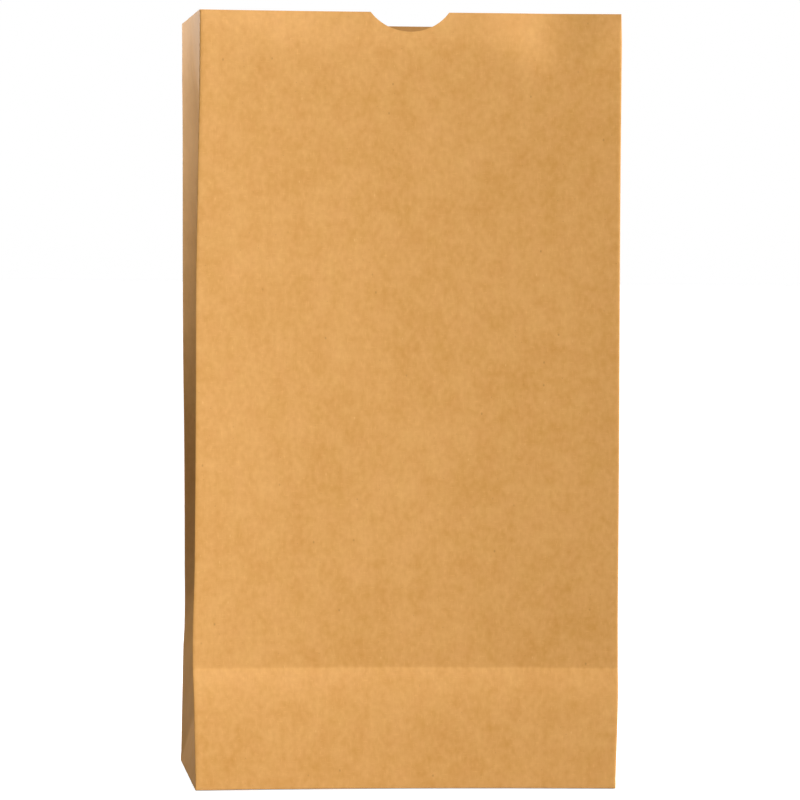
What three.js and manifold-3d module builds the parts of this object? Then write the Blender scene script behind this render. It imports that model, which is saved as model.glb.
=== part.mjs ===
// A brown kraft paper lunch bag, opened out and standing on its folded base.
//
// It is folded from one sheet. The sheet is wrapped into a tube with a glued lap down the back,
// each side is creased down its middle into a gusset that folds inwards, and the foot of the tube
// is folded flat and glued to make the base. The front panel is creased across at half the depth
// of the base, where the base folds up when the bag is flat, and has a thumb notch in its mouth.
//
// Millimetres, +Z up. The front panel, with the notch, faces -Y. The origin is the middle of the
// base, on the surface that the bag stands on.
import * as THREE from "three";
import { mergeVertices } from "three/addons/utils/BufferGeometryUtils.js";
import Module from "manifold-3d";

// Driving dimensions.
const WIDTH = 152; // of the front and back panels
const DEPTH = 87; // of the base, which is also the width of each side panel
const HEIGHT = 281;
const PAPER = 0.1; // thickness of the sheet
const LAP = 16; // width of the glued lap down the back panel
const LAP_MIDDLE = 6; // from the middle of the back panel to the middle of the lap
const BASE_OVERLAP = 24; // how far the two long base flaps lie over each other
const NOTCH_WIDTH = 28.3;
const NOTCH_DEPTH = 7.4;

// Sizes that follow from them.
const HALF_WIDTH = WIDTH / 2;
const HALF_SIDE = DEPTH / 2; // from a gusset's middle crease to either panel
const FLAP = HALF_SIDE + BASE_OVERLAP / 2; // how far the tube runs on past the base to be folded in
const BEYOND = 5; // how far a cutting shape reaches past what it cuts

// How the wall stands at each height: how far the front and back panels are drawn together from
// the depth of the base, and how far the middle of each panel bows out past its two edges.
// The first row is the base, and the second is the crease across the front.
const LEVELS = [
  { z: 0, drawnIn: 0, bow: 0 },
  { z: HALF_SIDE, drawnIn: 9, bow: 0 },
  { z: 62, drawnIn: 9.4, bow: 0.7 },
  { z: 84, drawnIn: 9.8, bow: 1.5 },
  { z: 112, drawnIn: 9.8, bow: 2.2 },
  { z: 142, drawnIn: 9.4, bow: 2.6 },
  { z: 172, drawnIn: 8.4, bow: 2.6 },
  { z: 198, drawnIn: 6.8, bow: 2.2 },
  { z: 218, drawnIn: 4.8, bow: 1.7 },
  { z: 233, drawnIn: 2.8, bow: 1.2 },
  { z: 247, drawnIn: 1.2, bow: 0.8 },
  { z: 262, drawnIn: 0.5, bow: 0.5 },
  { z: HEIGHT, drawnIn: 0.2, bow: 0.3 },
];

// Where points stand across half of a panel, as a share of the half width.
const ACROSS = [-1, -0.6, -0.25, 0.25, 0.6, 1];

// How far a gusset's middle crease is pushed in, for the distance between the two panels.
function pushedIn(between) {
  return Math.sqrt(HALF_SIDE ** 2 - (between / 2) ** 2);
}

// The outline inside which the sheet's outer face lies at a level, counter-clockwise from above.
// Each point carries its height, because the middle of a gusset drops a little as it goes in.
function outline(level) {
  const between = DEPTH - level.drawnIn;
  const push = pushedIn(between);
  const bowed = (share) => between / 2 + level.bow * (1 - share ** 2);
  const isCrease = level.z === HALF_SIDE;
  const middleZ = isCrease ? pushedIn(2 * push) : level.z; // the corner folds keep their length
  const point = (x, y, z = level.z) => new THREE.Vector3(x, y, z);
  const front = ACROSS.map((share) => point(share * HALF_WIDTH, -bowed(share)));
  const back = ACROSS.toReversed().map((share) => point(share * HALF_WIDTH, bowed(share)));
  return {
    front,
    right: point(HALF_WIDTH - push, 0, middleZ),
    back,
    left: point(push - HALF_WIDTH, 0, middleZ),
  };
}

// Moves each point of a closed ring inwards, so that its edges move in by a distance.
function inset(ring, distance) {
  const normalOf = (from, to) => new THREE.Vector2(from.y - to.y, to.x - from.x).normalize();
  return ring.map((here, i) => {
    const before = ring.at(i - 1);
    const after = ring[(i + 1) % ring.length];
    const inwards = normalOf(before, here).add(normalOf(here, after));
    inwards.multiplyScalar((2 * distance) / inwards.lengthSq());
    return new THREE.Vector3(here.x + inwards.x, here.y + inwards.y, here.z);
  });
}

// The ring of one face of the sheet, with the step that it takes at the glued lap. From the step
// to the bag's right side the face lies one thickness further out. The outer face steps at one
// edge of the lap and the inner face at the other, so the wall is two sheets thick between them.
function ringOf(level, distance, stepX) {
  const { front, right, back, left } = outline(level);
  const ring = inset([...front, right, ...back, left], distance);
  const backStart = front.length + 1;
  const half = back.length / 2;
  const outer = ring.slice(backStart, backStart + half);
  outer.forEach((p) => (p.y += PAPER));
  const last = outer.at(-1);
  const next = ring[backStart + half];
  const step = [
    new THREE.Vector3(stepX, last.y, last.z),
    new THREE.Vector3(stepX, next.y, next.z),
  ];
  return [...ring.slice(0, backStart), ...outer, ...step, ...ring.slice(backStart + half)];
}

// A closed mesh through a stack of rings with the same number of points.
function loft(rings) {
  const size = rings[0].length;
  const corners = [];
  const triangle = (a, b, c) => corners.push(a, b, c);
  for (let level = 1; level < rings.length; level++) {
    const low = rings[level - 1];
    const high = rings[level];
    for (let i = 0; i < size; i++) {
      const j = (i + 1) % size;
      // The cut across each face runs up into the middle crease of a gusset, as its folds do.
      const intoMiddle = Math.abs(high[j].x) < Math.abs(high[i].x) && Math.abs(high[j].y) < 1;
      if (intoMiddle) {
        triangle(low[i], low[j], high[j]);
        triangle(low[i], high[j], high[i]);
      } else {
        triangle(low[i], low[j], high[i]);
        triangle(low[j], high[j], high[i]);
      }
    }
  }
  const cap = (ring, facesUp) => {
    for (const [a, b, c] of THREE.ShapeUtils.triangulateShape(ring, [])) {
      if (facesUp) triangle(ring[a], ring[b], ring[c]);
      else triangle(ring[c], ring[b], ring[a]);
    }
  };
  cap(rings[0], false);
  cap(rings.at(-1), true);
  return new THREE.BufferGeometry().setFromPoints(corners);
}

const wasm = await Module();
wasm.setup();

// A solid from a closed geometry.
function solidOf(geometry) {
  const bare = geometry.index ? geometry.toNonIndexed() : geometry.clone();
  bare.deleteAttribute("normal");
  bare.deleteAttribute("uv");
  const merged = mergeVertices(bare, 1e-5);
  return new wasm.Manifold(
    new wasm.Mesh({
      numProp: 3,
      vertProperties: new Float32Array(merged.attributes.position.array),
      triVerts: new Uint32Array(merged.index.array),
    }),
  );
}

// A flat-shaded geometry back from a solid.
function geometryOf(solid) {
  const { vertProperties, triVerts } = solid.getMesh();
  const geometry = new THREE.BufferGeometry();
  geometry.setAttribute("position", new THREE.BufferAttribute(vertProperties, 3));
  geometry.setIndex(new THREE.BufferAttribute(triVerts, 1));
  const creased = geometry.toNonIndexed(); // so that each fold keeps its edge
  creased.computeVertexNormals();
  return creased;
}

// A flat-sided block of a plan outline, from one height to another.
function block(points, from, to) {
  const shape = new THREE.Shape(points.map(([x, y]) => new THREE.Vector2(x, y)));
  const geometry = new THREE.ExtrudeGeometry(shape, { depth: to - from, bevelEnabled: false });
  return solidOf(geometry.translate(0, 0, from));
}

// A block over the rectangle between two corners of the plan.
function slab(lowX, lowY, highX, highY, from, to) {
  const points = [[lowX, lowY], [highX, lowY], [highX, highY], [lowX, highY]];
  return block(points, from, to);
}

// The plan of a long base flap, hinged on one edge of the base and mitred at its two ends, where
// the side flaps under it are folded in. side is -1 for the front flap and 1 for the back one.
function longFlap(side, from, to) {
  const edge = side * HALF_SIDE;
  const free = side * (HALF_SIDE - FLAP);
  const beyond = side * (HALF_SIDE + BEYOND);
  const points = [
    [-HALF_WIDTH - BEYOND, beyond],
    [-HALF_WIDTH, edge],
    [FLAP - HALF_WIDTH, free],
    [HALF_WIDTH - FLAP, free],
    [HALF_WIDTH, edge],
    [HALF_WIDTH + BEYOND, beyond],
  ];
  return block(side > 0 ? points : points.reverse(), from, to);
}

// The space inside the bag: its floor is the two long flaps, with a side flap on top at each end.
function insideOf(rings) {
  const edgeX = HALF_WIDTH + BEYOND;
  const edgeY = HALF_SIDE + BEYOND;
  const floor = slab(-edgeX, -edgeY, edgeX, edgeY, -BEYOND, 2 * PAPER);
  const sideFlap = (side) => {
    const [low, high] = [side * (HALF_WIDTH - FLAP), side * edgeX].sort((a, b) => a - b);
    return slab(low, -edgeY, high, edgeY, 0, 3 * PAPER);
  };
  return solidOf(loft(rings)).subtract(floor).subtract(sideFlap(-1)).subtract(sideFlap(1));
}

// What is missing under the base: only the back flap, glued on last, lies on the floor. The front
// flap is one thickness above it, and the side flaps that show past their mitred ends are two.
function underBase() {
  const edgeX = HALF_WIDTH + BEYOND;
  const edgeY = HALF_SIDE + BEYOND;
  const layer = (top) => slab(-edgeX, -edgeY, edgeX, edgeY, -BEYOND, top);
  const backFlap = longFlap(1, -2 * BEYOND, BEYOND);
  const frontFlap = longFlap(-1, -2 * BEYOND, BEYOND);
  const aroundBack = layer(PAPER).subtract(backFlap);
  const aroundBoth = layer(2 * PAPER).subtract(backFlap).subtract(frontFlap);
  return aroundBack.add(aroundBoth);
}

// The thumb notch, a shallow arc cut from the middle of the front panel's top edge.
function notch() {
  const radius = ((NOTCH_WIDTH / 2) ** 2 + NOTCH_DEPTH ** 2) / (2 * NOTCH_DEPTH);
  const rise = radius - NOTCH_DEPTH; // from the top edge up to the arc's centre
  const from = Math.atan2(-rise, -NOTCH_WIDTH / 2);
  const to = Math.atan2(-rise, NOTCH_WIDTH / 2);
  const shape = new THREE.Shape();
  shape.moveTo(-NOTCH_WIDTH / 2, BEYOND);
  shape.lineTo(-NOTCH_WIDTH / 2, 0);
  shape.absarc(0, rise, radius, from, to, false);
  shape.lineTo(NOTCH_WIDTH / 2, BEYOND);
  const options = { depth: HALF_SIDE + BEYOND, bevelEnabled: false, curveSegments: 24 };
  const cutter = new THREE.ExtrudeGeometry(shape, options);
  cutter.rotateX(Math.PI / 2); // the outline stands upright and runs out through the front
  return solidOf(cutter.translate(0, 0, HEIGHT));
}

// The whole bag, as the sheet that lies between its outer and its inner face.
function paperBag() {
  const outer = LEVELS.map((level) => ringOf(level, 0, LAP_MIDDLE - LAP / 2));
  const inner = LEVELS.map((level) => ringOf(level, PAPER, LAP_MIDDLE + LAP / 2));
  const mouth = inner.at(-1).map((p) => new THREE.Vector3(p.x, p.y, HEIGHT + BEYOND));
  const wall = solidOf(loft(outer)).subtract(insideOf([...inner, mouth]));
  return wall.subtract(underBase()).subtract(notch());
}

const kraft = new THREE.MeshStandardMaterial({
  color: 0xd9a164,
  roughness: 0.82,
  metalness: 0,
  side: THREE.DoubleSide,
});

const bag = new THREE.Mesh(geometryOf(paperBag()), kraft);
bag.name = "paper_bag";

const part = new THREE.Group();
part.add(bag);

export default part;
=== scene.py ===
import math

import bmesh
import bpy
import numpy as np
from mathutils import Matrix, Vector, noise


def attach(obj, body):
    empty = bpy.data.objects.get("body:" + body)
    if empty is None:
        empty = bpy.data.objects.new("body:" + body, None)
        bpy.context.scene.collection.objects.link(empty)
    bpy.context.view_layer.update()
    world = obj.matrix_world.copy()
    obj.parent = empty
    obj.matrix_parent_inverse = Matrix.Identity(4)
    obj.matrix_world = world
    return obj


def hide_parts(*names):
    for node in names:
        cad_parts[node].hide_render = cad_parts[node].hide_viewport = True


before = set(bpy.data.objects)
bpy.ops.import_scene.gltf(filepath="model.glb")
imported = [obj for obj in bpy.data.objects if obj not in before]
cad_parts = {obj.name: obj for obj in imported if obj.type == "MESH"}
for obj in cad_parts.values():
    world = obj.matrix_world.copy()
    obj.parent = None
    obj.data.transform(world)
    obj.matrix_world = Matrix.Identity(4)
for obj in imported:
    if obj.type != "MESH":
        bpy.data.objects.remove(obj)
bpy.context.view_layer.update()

# The bag is one sheet of kraft paper. It is laid out flat first, as a grid with a line of points
# along every fold, and that flat layout is also its UV map. Then each point is folded into place.

# the cut sheet, in metres
sheet = {
    "width": 0.152,            # front and back panels
    "depth": 0.087,            # the base, and each side panel when it is flat
    "height": 0.281,
    "thickness": 0.00014,
    "layerGap": 0.00003,       # between sheets that are glued or folded together
    "lapStart": 0.014,         # x where the sheet starts, at the inner edge of the lap
    "lapEnd": -0.002,          # x where it ends, at the outer edge
    "flapCells": 30,           # the length of a base flap, in cells
    "cellsPerGusset": 24,      # from a corner fold to the middle crease
    "wallCells": 80,           # from the front crease to the mouth
    "besideFold": [0.0004, 0.0010],     # close lines of points each side of a fold
    "notchWidth": 0.0283,
    "notchDepth": 0.0073,
    "notchCells": 24,
    "notchReach": 0.040,       # the rows of points this far below the cut edge give way to it
    "lapEase": 0.008,          # the lap's steps are spread over this width
    "flapEase": 0.002,         # a base flap reaches its layer this far in from the foot
}

# the layer that each base flap lies in, counted up from the floor
flapLayers = {"back": 0, "lap": 1, "front": 2, "mitre": 3.5, "mitreStagger": 0.2, "side": 5}

# how the standing bag holds itself, in millimetres: the rows run up the sheet from the front crease to
# the mouth, with how far the panels are drawn in, the gussets pushed in and the corners out
stance = {
    "height":    [43.5, 50, 60, 75, 100, 130, 150, 185, 215, 240, 250, 260, 270, 281],
    "frontIn":   [3.1, 2.8, 2.4, 1.95, 1.6, 1.8, 2.4, 3.5, 4.2, 4.65, 4.9, 5.3, 6.3, 8.8],
    "pushedIn":  [9.0, 10.4, 13.0, 16.6, 19.6, 20.3, 19.8, 17.3, 12.6, 6.5, 3.8, 1.7, 0.5, 0.0],
    "middleDip": [0.6, 1.5, 3.0, 3.8, 4.0, 3.5, 3.1, 2.3, 1.6, 0.9, 0.5, 0.2, 0.0, 0.0],
    "frontBow":  [4.5, 4.6, 4.8, 4.9, 5.05, 5.1, 5.1, 5.1, 5.0, 4.7, 4.5, 4.2, 3.7, 3.2],
    "backBow":   [0.6, 0.7, 0.8, 0.7, 0.4, 0.0, -0.4, -0.8, -1.0, -1.0, -1.0, -0.9, -0.8, -0.6],
    "leftOut":   [1.2, 1.3, 1.3, 1.0, 0.9, 0.85, 0.85, 0.85, 0.45, 0.1, -0.1, -0.2, -0.3, -0.4],
    "rightOut":  [1.6, 1.5, 1.3, 1.15, 1.0, 0.8, 0.7, 0.55, 0.45, 0.4, 0.4, 0.4, 0.5, 0.6],
    "backShift": [1.25, 1.6, 1.6, 0.95, 0.45, 0.0, -0.3, -0.45, -0.8, -1.15, -1.4, -1.6, -1.65, -1.75],
    "mouthTurn": 0.05,           # share of the half width: the mouth is turned against the foot
    "footShift": -0.6,           # the back of the foot sits this far sideways
    "footRight": 0.7,            # and its right end this far out
    "footBelly": 0.25,           # below the front crease the front stands out before it leans in
    "backEase": 0.5,             # below it the back leans in early, and eases off
    "gussetSag": 2.0,            # gusset halves sag in low down, and belly out higher up
    "sagAcross": 0.4,            # share of the sag that goes towards the corner
    "sagEnd": 40,                # it ends this far below the mouth
    "baseBow": 3.3,              # the front edge of the base is bowed in
    "baseBowReach": 34,
}

# shallow bays below the mouth where the front panel has been bent back, in millimetres
mouthBend = {
    "slope": 0.20,
    "easeIn": 6.0,
    "bays": [                    # middle, half width, depth below the cut edge
        [-30, 40, 15],
        [14, 18, 8],
        [52, 21, 25],
    ],
}

waves = {
    "broad": 0.00030, "broadAcross": 0.055, "broadUp": 0.085,
    "fine": 0.00007, "fineAcross": 0.016, "fineUp": 0.030,
    "calmNearFold": 0.010,
    "broadSlice": 3.1, "fineSlice": 7.7,
}

# how far each side of a fold its points are averaged over
softness = {"corner": 0.0007, "other": 0.0004, "cornerReach": 0.004, "aboveFoot": 0.002}
averaging = ((-1, 0.25), (0, 0.5), (1, 0.25))      # step to a neighbour, and its weight
wearReach = 0.0005

halfWidth = sheet["width"] / 2
halfSide = sheet["depth"] / 2
topEdge = sheet["height"]
cell = halfSide / sheet["cellsPerGusset"]
flapLength = cell * sheet["flapCells"]
layerStep = sheet["thickness"] + sheet["layerGap"]

# the vertical folds, across the flat sheet
leftBack = sheet["lapStart"] + halfWidth
leftMiddle = leftBack + halfSide
leftFront = leftMiddle + halfSide
rightFront = leftFront + sheet["width"]
rightMiddle = rightFront + halfSide
rightBack = rightMiddle + halfSide
sheetEnd = rightBack + halfWidth - sheet["lapEnd"]


def evenly(start, end, count):
    return [start + (end - start) * i / count for i in range(1, count + 1)]


def awayFromFold(foldToo):
    # stops from a fold line outwards, as far as the flap reaches, with close lines at the fold
    stops = list(sheet["besideFold"])
    stops += evenly(0, halfSide, sheet["cellsPerGusset"])
    stops += [halfSide - d for d in sheet["besideFold"]]
    if foldToo:
        return sorted(stops)
    stops += [halfSide + d for d in sheet["besideFold"]]
    stops += evenly(halfSide, flapLength, sheet["flapCells"] - sheet["cellsPerGusset"])
    return sorted(stops)


def columnStops():
    near = awayFromFold(False)
    half = awayFromFold(True)
    reach = halfWidth - flapLength
    notchHalf = sheet["notchWidth"] / 2
    leftStart = leftBack - near[-1]
    frontMiddle = leftFront + halfWidth
    stops = [0.0] + evenly(0, leftStart, round(leftStart / cell))
    stops += [leftBack - d for d in reversed(near[:-1])] + [leftBack]
    stops += [leftBack + d for d in half] + [leftFront - d for d in reversed(half[:-1])]
    stops += [leftFront] + [leftFront + d for d in near]
    beside = round((reach - notchHalf) / cell)
    stops += evenly(frontMiddle - reach, frontMiddle - notchHalf, beside)
    stops += evenly(frontMiddle - notchHalf, frontMiddle + notchHalf, sheet["notchCells"])
    stops += evenly(frontMiddle + notchHalf, frontMiddle + reach, beside)
    stops += [rightFront - d for d in reversed(near[:-1])] + [rightFront]
    stops += [rightFront + d for d in half] + [rightBack - d for d in reversed(half[:-1])]
    stops += [rightBack] + [rightBack + d for d in near]
    rightStart = rightBack + near[-1]
    stops += evenly(rightStart, sheetEnd, round((sheetEnd - rightStart) / cell))
    return np.array(stops)


def rowStops():
    near = awayFromFold(False)
    half = awayFromFold(True)
    stops = [-d for d in reversed(near)] + [0.0] + half
    stops += [halfSide + d for d in sheet["besideFold"]]
    stops += evenly(halfSide, topEdge, sheet["wallCells"])
    return np.array(sorted(stops))


# a smooth curve through the stance rows
def held(name, v):
    heights = np.array(stance["height"]) / 1000
    values = np.array(stance[name]) / 1000
    slopes = np.gradient(values, heights)
    at = np.clip(v, heights[0], heights[-1])
    i = np.clip(np.searchsorted(heights, at) - 1, 0, len(heights) - 2)
    run = heights[i + 1] - heights[i]
    t = (at - heights[i]) / run
    return (
        (2 * t**3 - 3 * t**2 + 1) * values[i]
        + (t**3 - 2 * t**2 + t) * run * slopes[i]
        + (3 * t**2 - 2 * t**3) * values[i + 1]
        + (t**3 - t**2) * run * slopes[i + 1]
    )


# how far the front or back panel is drawn in: the back goes in by what the gussets take up
def drawnIn(face, v):
    if face < 0:
        return held("frontIn", v)
    across = np.sqrt(halfSide**2 - held("pushedIn", v) ** 2 - held("middleDip", v) ** 2)
    return 2 * (halfSide - across) - held("frontIn", v)


# how high each panel reaches, as its length is spent on its lean; the folded tube's foot is level
creaseZ = math.sqrt(halfSide**2 - (stance["frontIn"][0] / 1000) ** 2)
climbCount, pastMouth = 400, 0.001
climbStops = np.linspace(halfSide, topEdge + pastMouth, climbCount)
climb = {}
for face in (-1, 1):
    lean = np.gradient(drawnIn(face, climbStops), climbStops)
    rise = np.sqrt(1 - lean**2) * (climbStops[1] - climbStops[0])
    climb[face] = creaseZ + np.concatenate([[0], np.cumsum(rise[1:])])


# the corner fold line at height v up the sheet: side is -1 left, 1 right, face is -1 front, 1 back
def cornerLine(side, face, v):
    low = np.clip(v, 0, halfSide) / halfSide
    belly, ease = stance["footBelly"], stance["backEase"]
    lean = (1 + belly) * low**5 - belly * low if face < 0 else low * (1 + ease - ease * low**2)
    inwards = drawnIn(face, v) * lean
    footOut = stance["footRight"] / 1000 if side > 0 else 0
    out = footOut + (held("leftOut" if side < 0 else "rightOut", v) - footOut) * low
    footShift = stance["footShift"] / 1000
    shift = footShift + (held("backShift", v) - footShift) * low if face > 0 else 0 * v
    z = np.where(v < halfSide, creaseZ * low, np.interp(v, climbStops, climb[face]))
    turned = stance["mouthTurn"] * side * halfWidth * v / topEdge
    return np.stack([side * (halfWidth + out) + shift, face * (halfSide - inwards) - turned, z])


# the middle crease of a gusset
def middleLine(side, v):
    up = np.maximum(v, halfSide)
    front, back = cornerLine(side, -1, up), cornerLine(side, 1, up)
    between = (front + back) / 2
    return between + np.stack([-side * held("pushedIn", up), 0 * v, -held("middleDip", up)])


# a point of a side panel, at distance s from its corner fold on that face
def sideWall(side, face, s, v):
    corner, middle = cornerLine(side, face, v), middleLine(side, v)
    share = s / halfSide
    upper = corner + (middle - corner) * share
    climbed = np.clip((v - halfSide) / (topEdge - stance["sagEnd"] / 1000 - halfSide), 0, 1)
    sag = stance["gussetSag"] / 1000 * 4 * share * (1 - share) * np.sin(2 * math.pi * climbed)
    upper = upper + np.stack([-side * sag, face * sag * stance["sagAcross"], 0 * v])
    foot = cornerLine(side, face, 0 * v)
    creaseEnd = cornerLine(side, face, 0 * v + halfSide)
    apex = middleLine(side, 0 * v + halfSide)
    outer = foot + (apex - creaseEnd) * (s / halfSide) + (creaseEnd - foot) * (v / halfSide)
    offChord = corner - foot - (creaseEnd - foot) * (v / halfSide)
    outer = outer + offChord * (1 - s / np.maximum(v, 1e-6))
    middleFoot = (cornerLine(side, -1, 0 * v) + cornerLine(side, 1, 0 * v)) / 2
    inner = foot + (middleFoot - foot) * (s / halfSide) + (apex - middleFoot) * (v / halfSide)
    lower = np.where(s <= v, outer, inner)
    return np.where(v >= halfSide, upper, lower)


# a point of the front or back panel, at x across it
def panelWall(face, x, v):
    left, right = cornerLine(-1, face, v), cornerLine(1, face, v)
    share = x / halfWidth
    point = (left + right) / 2 + (right - left) / 2 * share
    low = np.clip(v, 0, halfSide) / halfSide
    bow = held("frontBow" if face < 0 else "backBow", v) * low * (1 - share**2)
    if face < 0:
        bow = bow + stance["baseBow"] / 1000 * (1 - low) * (1 - share**2)
        depth = sum(d * np.exp(-(((x * 1000 - c) / w) ** 2)) for c, w, d in mouthBend["bays"])
        past = np.maximum((v - topEdge) * 1000 + depth, 0)
        ease = mouthBend["easeIn"]
        bow = bow + mouthBend["slope"] * (past - ease * (1 - np.exp(-past / ease))) / 1000
    return point + np.stack([0 * v, -face * bow, 0 * v])


# a point of a long base flap; its mitred ends are folded under, between it and the side flaps
def longFlap(face, x, t, level):
    fromCorner = halfWidth - np.abs(x)
    ramp = np.clip(t / sheet["flapEase"], 0, 1)
    flat = np.stack([x, face * (halfSide - t), level * layerStep * ramp])
    mitreLevel = flapLayers["mitre"] - flapLayers["mitreStagger"] * face
    under = np.stack([
        np.sign(x) * (halfWidth - t),
        face * (halfSide - fromCorner),
        mitreLevel * layerStep * ramp + sheet["thickness"],
    ])
    return settled(np.where(fromCorner >= t, flat, under))


def sideFlap(side, face, s, t):
    ramp = np.clip(t / sheet["flapEase"], 0, 1)
    level = flapLayers["side"]
    return settled(np.stack([side * (halfWidth - t), face * (halfSide - s), level * layerStep * ramp]))


# the base keeps to the foot of the walls: its front edge is bowed in, and it is not quite square
def settled(point):
    reach = stance["baseBowReach"] / 1000
    near = np.clip(1 - (halfSide + point[1]) / reach, 0, 1)
    share = point[0] / halfWidth
    point[1] += stance["baseBow"] / 1000 * near * (1 - share**2)
    point[0] += stance["footRight"] / 1000 * np.maximum(share, 0)
    point[0] += stance["footShift"] / 1000 * (halfSide + point[1]) / sheet["depth"]
    return point


# puts flat points, u across and v up the sheet, where the folded bag has them
def foldSheet(u, v):
    t = -v
    up = np.maximum(v, 0)
    place = np.zeros((3, len(u)))

    def within(low, high):
        return (u >= low) & (u < high)

    def put(mask, wall, flap):
        place[:, mask] = np.where(v[mask] >= 0, wall(mask), flap(mask))

    xBackLeft = sheet["lapStart"] - u
    xBackRight = halfWidth - (u - rightBack)
    xFront = u - leftFront - halfWidth
    # the right end of the sheet laps over the left end, which it covers from lapEnd to lapStart
    ease = sheet["lapEase"]
    overLap = np.clip((sheet["lapStart"] + ease - xBackRight) / ease, 0, 1) * layerStep
    underLap = np.clip((xBackLeft - sheet["lapEnd"] + ease) / ease, 0, 1) * flapLayers["lap"]
    put(u < leftBack, lambda m: panelWall(1, xBackLeft[m], up[m]),
        lambda m: longFlap(1, xBackLeft[m], t[m], underLap[m]))
    put(u >= rightBack, lambda m: panelWall(1, xBackRight[m], up[m])
        + np.stack([0 * up[m], overLap[m], 0 * up[m]]),
        lambda m: longFlap(1, xBackRight[m], t[m], flapLayers["back"]))
    put(within(leftFront, rightFront), lambda m: panelWall(-1, xFront[m], up[m]),
        lambda m: longFlap(-1, xFront[m], t[m], flapLayers["front"]))
    for side, face, fold, low, high in (
        (-1, 1, leftBack, leftBack, leftMiddle), (-1, -1, leftFront, leftMiddle, leftFront),
        (1, -1, rightFront, rightFront, rightMiddle), (1, 1, rightBack, rightMiddle, rightBack),
    ):
        s = np.abs(u - fold)
        put(within(low, high), lambda m: sideWall(side, face, s[m], up[m]),
            lambda m: sideFlap(side, face, s[m], t[m]))
    return place


# rounds every fold a little, by averaging each point with its neighbours across the fold
def foldSoftly(u, v):
    corner = np.minimum.reduce([np.abs(u - f) for f in (leftBack, leftFront, rightFront, rightBack)])
    atCorner = (corner < softness["cornerReach"]) & (v > softness["aboveFoot"])
    across = np.where(atCorner, softness["corner"], softness["other"])
    place = np.zeros((3, len(u)))
    for du, wu in averaging:
        for dv, wv in averaging:
            place += wu * wv * foldSheet(u + du * across, v + dv * softness["other"])
    return place


# the grid is made as an even square, and its points then go to their columns and rows
print("bag: laying out the sheet")
columns, rows = columnStops(), rowStops()
half = 0.5
bm = bmesh.new()
bmesh.ops.create_grid(bm, x_segments=len(columns) - 1, y_segments=len(rows) - 1, size=half)
bm.verts.ensure_lookup_table()
laid = np.array([vert.co[:2] for vert in bm.verts])
u = columns[np.rint((laid[:, 0] + half) * (len(columns) - 1)).astype(int)]
v = rows[np.rint((laid[:, 1] + half) * (len(rows) - 1)).astype(int)]

# the thumb notch: the rows below it close up, so that the cut edge follows an arc
notchHalf = sheet["notchWidth"] / 2
notchRadius = (notchHalf**2 + sheet["notchDepth"] ** 2) / (2 * sheet["notchDepth"])
fromMiddle = np.abs(u - leftFront - halfWidth)
inNotch = np.minimum(fromMiddle, notchHalf)
cut = sheet["notchDepth"] - notchRadius + np.sqrt(notchRadius**2 - inNotch**2)
closing = np.clip((v - (topEdge - sheet["notchReach"])) / sheet["notchReach"], 0, 1)
v = v - cut * closing

print("bag: folding it")
place = foldSoftly(u, v)
for vert, point in zip(bm.verts, place.T):
    vert.co = point

# the paper's own unevenness, which dies away at the folds
bm.normal_update()
folds = (leftBack, leftMiddle, leftFront, rightFront, rightMiddle, rightBack)
nearFold = np.minimum.reduce([np.abs(u - f) for f in folds] + [np.abs(v - halfSide), np.maximum(v, 0)])
calm = np.clip(nearFold / waves["calmNearFold"], 0, 1)
calm = calm * calm * (3 - 2 * calm)
for i, vert in enumerate(bm.verts):
    broadAt = (u[i] / waves["broadAcross"], v[i] / waves["broadUp"], waves["broadSlice"])
    fineAt = (u[i] / waves["fineAcross"], v[i] / waves["fineUp"], waves["fineSlice"])
    broad, fine = noise.noise(Vector(broadAt)), noise.noise(Vector(fineAt))
    vert.co += vert.normal * calm[i] * (broad * waves["broad"] + fine * waves["fine"])

# how close each point is to a fold line, for the paper's wear there
wearLayer = bm.verts.layers.float.new("foldWear")
upright = np.minimum.reduce([np.abs(u - f) for f in folds])
onFront = np.abs(u - leftFront - halfWidth) < halfWidth
level = np.minimum(np.abs(v), np.where(onFront, np.abs(v - halfSide), 1))
closest = np.minimum(upright, level)
for vert, gap in zip(bm.verts, closest):
    vert[wearLayer] = math.exp(-((gap / wearReach) ** 2))

for edge in bm.edges:
    edge.smooth = not edge.is_boundary       # the cut edge is crisp

layout = bm.loops.layers.uv.new("flatSheet")
flat = list(zip(u, v + flapLength))
for face in bm.faces:
    face.smooth = True
    for loop in face.loops:
        loop[layout].uv = flat[loop.vert.index]

bagMesh = bpy.data.meshes.new("kraftBag")
bm.to_mesh(bagMesh)
bm.free()
kraftBag = bpy.data.objects.new("kraftBag", bagMesh)
bpy.context.collection.objects.link(kraftBag)
skin = kraftBag.modifiers.new("paper", "SOLIDIFY")
skin.thickness = sheet["thickness"]
skin.offset = -1

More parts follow.
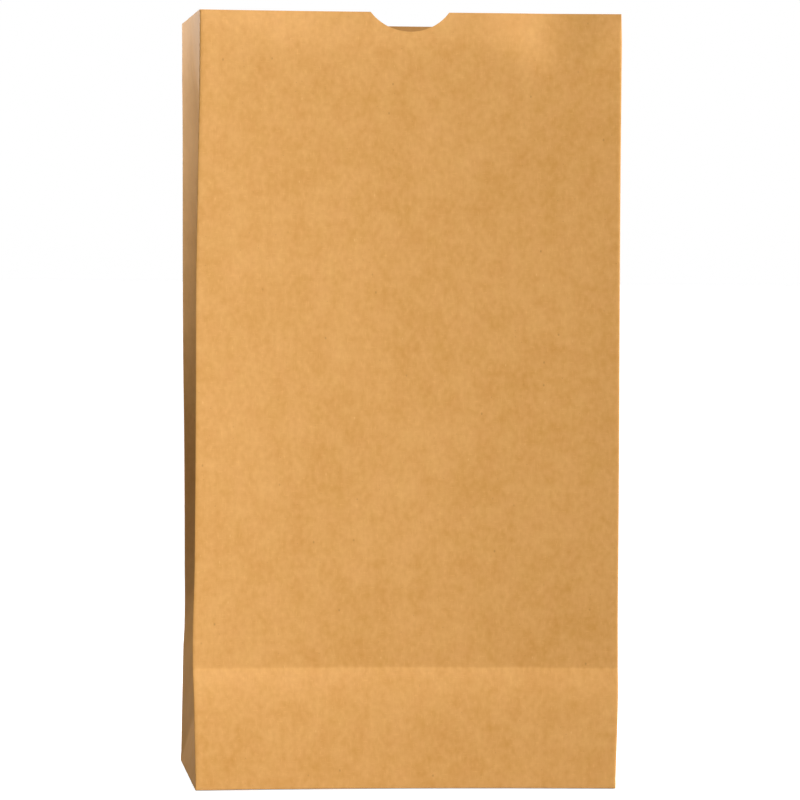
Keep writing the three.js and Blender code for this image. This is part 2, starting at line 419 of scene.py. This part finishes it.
# kraft paper; the patterns are laid on the flat sheet, in millimetres, so that they follow its folds
print("bag: giving it its paper")
kraft = {
    "pale": (0.718, 0.382, 0.127, 1),
    "deep": (0.522, 0.241, 0.042, 1),
    "stroke": (0.78, 0.43, 0.14, 1),
    "hueDrift": 0.006, "driftShift": 71,
    "bark": (0.30, 0.125, 0.028, 1),
    "fineBark": (0.30, 0.125, 0.028, 1),
    "paleFibre": (0.76, 0.45, 0.17, 1),
    "foldColour": (0.73, 0.40, 0.125, 1),
    "inside": 0.66,              # how much darker the inner face is made: partly its duller unglazed side, partly painted shade for the inside of the bag
    "roughness": [0.50, 0.66],
    "insideRoughness": [0.74, 0.90],
    "specular": 0.28,
    "shineRange": [0.25, 0.85],  # mottle plus wear at the two ends of the roughness
    "wearShine": 0.5,
    "foldWear": 0.30,
    "wearBreaks": [0.30, 0.62, 0.35],   # mottle from and to, and the share of wear where it is low
    "fleckStrength": 0.45,
    "relief": {"blotch": 0.6, "mottle": 0.5, "fibresUp": 0.5, "fibresAcross": 0.4},
    "strokeStrength": 0.20,
    "strokeRange": [0.60, 0.78],
    "shiftUp": 0.37, "toneShift": 11, "fleckShift": [3, 5],   # where on its noise each pattern is laid
    "bump": 0.09,
    "bumpDepth": 0.00008,
}

# tone layers: size across and up the sheet in millimetres, detail, and share of the tone
toneLayers = {
    "cloud": (30, 44, 2, 0.22),
    "blotch": (7.5, 10, 2, 0.28),
    "mottle": (2.0, 2.8, 1, 0.30),
    "fibresUp": (0.50, 2.6, 1, 0.05),
    "fibresAcross": (2.2, 0.50, 1, 0.03),
}

# scattered bits of bark and pale fibre: spacing, size, share of places filled, stretch up the sheet
fleckEdge = [0.4, 1.5]           # a fleck fades out between these shares of its size
fleckFade = 0.2                  # flecks come in faint over this range of chance
fleckLayers = {
    "bark": (5.5, 0.055, 0.55, 1.5),
    "fineBark": (2.1, 0.075, 0.30, 1.0),
    "paleFibre": (3.4, 0.060, 0.40, 2.4),
}


class NodeBench:                 # a short way to add and join shader nodes
    def __init__(self, material):
        material.use_nodes = True
        self.nodes, self.links = material.node_tree.nodes, material.node_tree.links
        self.shader = self.nodes["Principled BSDF"]

    def add(self, kind, **settings):
        node = self.nodes.new("ShaderNode" + kind)
        for name, value in settings.items():
            setattr(node, name, value)
        return node

    def feed(self, socket, value):
        if isinstance(value, bpy.types.NodeSocket):
            self.links.new(value, socket)
        else:
            socket.default_value = value

    def math(self, operation, *values):
        node = self.add("Math", operation=operation)
        for socket, value in zip(node.inputs, values):
            self.feed(socket, value)
        return node.outputs[0]

    def ramp(self, value, fromMin, fromMax, toMin, toMax):
        node = self.add("MapRange", interpolation_type="SMOOTHSTEP")
        for name, part in (("Value", value), ("From Min", fromMin), ("From Max", fromMax),
                           ("To Min", toMin), ("To Max", toMax)):
            self.feed(node.inputs[name], part)
        return node.outputs["Result"]

    def mix(self, factor, first, second):
        node = self.add("Mix", data_type="RGBA")
        self.feed(node.inputs["Factor"], factor)
        self.feed(node.inputs[6], first)
        self.feed(node.inputs[7], second)
        return node.outputs[2]


def onTheSheet(bench, across, up, shift):
    place = bench.add("UVMap", uv_map="flatSheet")
    lay = bench.add("Mapping")
    lay.inputs["Location"].default_value = (shift, shift * kraft["shiftUp"], 0)
    lay.inputs["Scale"].default_value = (1000 / across, 1000 / up, 1)
    bench.feed(lay.inputs["Vector"], place.outputs["UV"])
    return lay.outputs["Vector"]


def toneLayer(bench, name, shift):
    across, up, detail, share = toneLayers[name]
    cloud = bench.add("TexNoise")
    cloud.inputs["Scale"].default_value = 1
    cloud.inputs["Detail"].default_value = detail
    bench.feed(cloud.inputs["Vector"], onTheSheet(bench, across, up, shift))
    return cloud.outputs["Fac"], share


def fleckLayer(bench, name, shift):
    spacing, size, filled, stretch = fleckLayers[name]
    cells = bench.add("TexVoronoi")
    cells.inputs["Scale"].default_value = 1
    bench.feed(cells.inputs["Vector"], onTheSheet(bench, spacing, spacing * stretch, shift))
    dot = bench.ramp(cells.outputs["Distance"], size * fleckEdge[0], size * fleckEdge[1], 1, 0)
    chance = bench.add("SeparateColor")
    bench.feed(chance.inputs["Color"], cells.outputs["Color"])
    there = bench.ramp(chance.outputs["Red"], 1 - filled, 1 + fleckFade - filled, 0, 1)
    return bench.math("MULTIPLY", dot, there)


def kraftPaper(name, outside):
    material = bpy.data.materials.new(name)
    bench = NodeBench(material)
    shift = kraft["toneShift"]
    layers = {layer: toneLayer(bench, layer, shift * (i + 1)) for i, layer in enumerate(toneLayers)}
    tone = 0.5 - sum(share for _, share in layers.values())      # each layer moves it by its share
    for grain, share in layers.values():
        tone = bench.math("MULTIPLY_ADD", grain, 2 * share, tone)
    colour = bench.mix(tone, kraft["deep"], kraft["pale"])
    drift = bench.add("HueSaturation")
    wander = toneLayer(bench, "blotch", kraft["driftShift"])[0]
    hue = bench.math("MULTIPLY_ADD", wander, kraft["hueDrift"], 0.5 - kraft["hueDrift"] / 2)
    bench.feed(drift.inputs["Hue"], hue)
    bench.feed(drift.inputs["Color"], colour)
    colour = drift.outputs["Color"]
    for direction in ("fibresUp", "fibresAcross"):
        stroke = bench.ramp(layers[direction][0], *kraft["strokeRange"], 0, kraft["strokeStrength"])
        colour = bench.mix(stroke, colour, kraft["stroke"])
    worn = bench.add("Attribute", attribute_name="foldWear")
    broken = bench.ramp(layers["mottle"][0], *kraft["wearBreaks"], 1)
    wear = bench.math("MULTIPLY", worn.outputs["Fac"], broken)
    colour = bench.mix(bench.math("MULTIPLY", wear, kraft["foldWear"]), colour, kraft["foldColour"])
    shift, step = kraft["fleckShift"]
    for layer in fleckLayers:
        flecks = bench.math("MULTIPLY", fleckLayer(bench, layer, shift), kraft["fleckStrength"])
        colour = bench.mix(flecks, colour, kraft[layer])
        shift += step
    if not outside:
        # the inner face is darkened: partly the duller unglazed side, partly painted shade for the
        # inside of the bag
        darkenedInside = bench.add("HueSaturation")
        darkenedInside.inputs["Value"].default_value = kraft["inside"]
        bench.feed(darkenedInside.inputs["Color"], colour)
        colour = darkenedInside.outputs["Color"]
    bench.feed(bench.shader.inputs["Base Color"], colour)
    bench.shader.inputs["Specular IOR Level"].default_value = kraft["specular"]
    low, high = kraft["roughness"] if outside else kraft["insideRoughness"]
    shine = bench.math("MULTIPLY_ADD", wear, kraft["wearShine"], layers["mottle"][0])
    bench.feed(bench.shader.inputs["Roughness"], bench.ramp(shine, *kraft["shineRange"], low, high))
    relief = 0.0
    for layer, depth in kraft["relief"].items():
        relief = bench.math("MULTIPLY_ADD", layers[layer][0], depth, relief)
    bump = bench.add("Bump")
    bump.inputs["Strength"].default_value = kraft["bump"]
    bump.inputs["Distance"].default_value = kraft["bumpDepth"]
    bench.feed(bump.inputs["Height"], relief)
    bench.feed(bench.shader.inputs["Normal"], bump.outputs["Normal"])
    return material


kraftBag.data.materials.append(kraftPaper("kraftOutside", True))
# the inner face's copy of the paper is darker, partly as painted shade for the inside of the bag
kraftBag.data.materials.append(kraftPaper("kraftInside", False))
skin.material_offset = 1
skin.material_offset_rim = 1

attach(kraftBag, "root")
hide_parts("paper_bag")

print("studio: floor, lights and camera")
# the floor's glow is only seen by the camera, and sends no light at the bag
room = {
    "floorReach": 12, "floorDrop": 0.0002,       # just clear of the base flap
    "floorBounce": 0.34, "floorPale": 0.90, "floorGlow": 0.52, "roughness": 0.9,
    "backdrop": 1.0,
    "band": 0.16, "bandFull": 0.12, "bandGone": 0.35,
}
bm = bmesh.new()
bmesh.ops.create_grid(bm, x_segments=1, y_segments=1, size=room["floorReach"])
floorMesh = bpy.data.meshes.new("floor")
bm.to_mesh(floorMesh)
bm.free()
floorMesh.transform(Matrix.Translation((0, 0, -room["floorDrop"])))
floor = bpy.data.objects.new("floor", floorMesh)
bpy.context.collection.objects.link(floor)
floorMaterial = bpy.data.materials.new("floorPaint")
bench = NodeBench(floorMaterial)
seen = bench.add("LightPath").outputs["Is Camera Ray"]
grey = bench.math("MULTIPLY_ADD", seen, room["floorPale"] - room["floorBounce"], room["floorBounce"])
bench.feed(bench.shader.inputs["Base Color"], grey)
bench.feed(bench.shader.inputs["Emission Strength"], bench.math("MULTIPLY", seen, room["floorGlow"]))
bench.shader.inputs["Emission Color"].default_value = (1, 1, 1, 1)
bench.shader.inputs["Roughness"].default_value = room["roughness"]
floor.data.materials.append(floorMaterial)

# the room: the camera sees a white backdrop, and the bag is lit by a soft pale band low down
world = bpy.data.worlds.new("room")
bpy.context.scene.world = world
world.use_nodes = True
nodes, links = world.node_tree.nodes, world.node_tree.links
direction = nodes.new("ShaderNodeTexCoord")
axes = nodes.new("ShaderNodeSeparateXYZ")
links.new(direction.outputs["Generated"], axes.inputs["Vector"])
band = nodes.new("ShaderNodeMapRange")
band.interpolation_type = "SMOOTHSTEP"
for name, value in (("From Min", room["bandFull"]), ("From Max", room["bandGone"]),
                    ("To Min", room["band"]), ("To Max", 0)):
    band.inputs[name].default_value = value
links.new(axes.outputs["Z"], band.inputs["Value"])
chosen = nodes.new("ShaderNodeMix")
links.new(nodes.new("ShaderNodeLightPath").outputs["Is Camera Ray"], chosen.inputs["Factor"])
links.new(band.outputs["Result"], chosen.inputs["A"])
chosen.inputs["B"].default_value = room["backdrop"]
nodes["Background"].inputs["Color"].default_value = (1, 1, 1, 1)
links.new(chosen.outputs["Result"], nodes["Background"].inputs["Strength"])

# soft lamps: azimuth from straight in front towards the right, elevation, softness, power
lamps = {
    "keyHigh": (20, 50, 30, 1.45),
    "keyLow": (40, 8, 30, 2.1),
    "keySide": (80, 8, 30, 2.4),
    "back": (150, 35, 30, 0.5),
}
for name, (azimuth, elevation, softness, power) in lamps.items():
    light = bpy.data.lights.new(name, "SUN")
    light.angle = math.radians(softness)
    light.energy = power
    lamp = bpy.data.objects.new(name, light)
    bpy.context.collection.objects.link(lamp)
    lamp.rotation_euler = (math.radians(90 - elevation), 0, math.radians(azimuth))

# soft boxes: one close behind the top left corner, one high in front
softBoxes = {
    "boxBehind": {"place": (-0.26, 0.30, 0.42), "aim": (-0.076, 0.02, 0.20), "size": 0.16, "power": 2.3},
    "boxInFront": {"place": (0.30, -0.75, 0.72), "aim": (0, -0.04, 0.20), "size": 0.40, "power": 1.5},
}
for name, box in softBoxes.items():
    light = bpy.data.lights.new(name, "AREA")
    light.size = box["size"]
    light.energy = box["power"]
    lamp = bpy.data.objects.new(name, light)
    bpy.context.collection.objects.link(lamp)
    lamp.location = box["place"]
    lamp.rotation_euler = (Vector(box["place"]) - Vector(box["aim"])).to_track_quat("Z", "Y").to_euler()
    lamp.visible_camera = False

view = {
    "place": (-0.1659, -1.6035, 0.2064), "pan": 5.930, "tilt": 2.395, "roll": 0.51,
    "lens": 196.5, "sensor": 36, "farthest": 60,
}
camera = bpy.data.objects.new("camera", bpy.data.cameras.new("camera"))
bpy.context.collection.objects.link(camera)
camera.data.lens = view["lens"]
camera.data.sensor_width = view["sensor"]
camera.location = view["place"]
camera.rotation_euler = [math.radians(a) for a in (90 - view["tilt"], -view["roll"], -view["pan"])]
camera.data.clip_end = view["farthest"]
bpy.context.scene.camera = camera
bpy.context.scene.view_settings.view_transform = "Standard"
